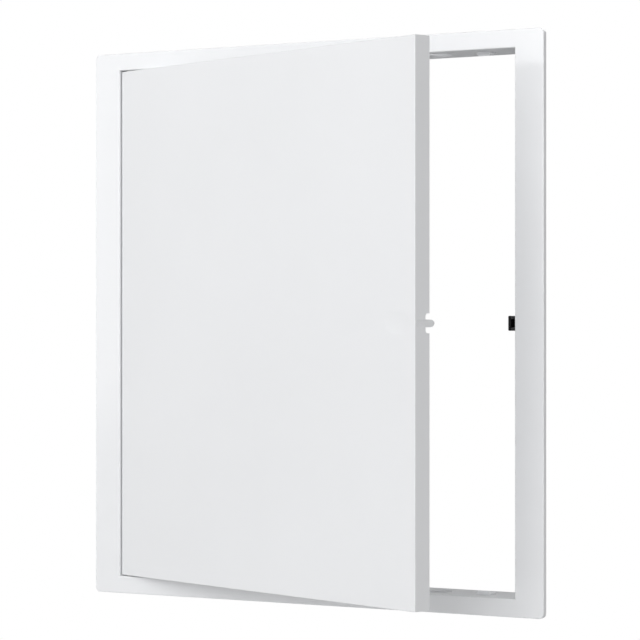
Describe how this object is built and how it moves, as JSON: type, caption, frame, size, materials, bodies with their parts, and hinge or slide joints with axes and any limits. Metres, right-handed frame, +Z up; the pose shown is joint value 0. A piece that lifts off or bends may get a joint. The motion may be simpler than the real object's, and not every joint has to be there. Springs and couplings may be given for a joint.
{
  "type": "access panel",
  "caption": "White sheet steel wall access panel: flanged frame with a deep collar, hinged pan door standing ajar, finger dimple, spear latch and black snap catch.",
  "frame": {"origin": "on the wall-side face of the bottom flange's hem, at mid width and mid hem", "axes": "+X to the latch side as seen from the front, +Y into the wall, +Z up"},
  "size_m": [0.339, 0.1371, 0.3735],
  "materials": {
    "frame_coat": "glossy white powder coat",
    "collar_coat": "matt white coat inside the frame",
    "door_coat": "glossy white powder coat",
    "catch_plastic": "black moulded plastic",
    "jaw_plastic": "black moulded plastic, a little worn",
    "pin_steel": "bright zinc plated",
    "bush_nylon": "natural nylon"
  },
  "bodies": {
    "frame": {"frame_flange": "frame_coat", "frame_collar_top": "collar_coat", "frame_collar_bottom": "collar_coat", "frame_collar_hinge": "collar_coat", "frame_collar_latch": "collar_coat", "door_stop_top_latch": "collar_coat", "door_stop_bottom_latch": "collar_coat", "door_stop_top_hinge": "collar_coat", "door_stop_bottom_hinge": "collar_coat", "catch_body": "catch_plastic", "catch_upper_jaw": "jaw_plastic", "catch_lower_jaw": "jaw_plastic", "hinge_pin_top": "pin_steel", "hinge_pin_bottom": "pin_steel"},
    "door": {"door_panel": "door_coat", "latch_tongue": "door_coat", "hinge_bush_top": "bush_nylon", "hinge_bush_bottom": "bush_nylon"}
  },
  "joints": [
    {"name": "door_hinge", "type": "hinge", "parent": "frame", "child": "door", "pos_m": [-0.14283, 0.0003, 0.18375], "axis": [0, 0, -1], "range_deg": [-20.2, 84.8]}
  ]
}
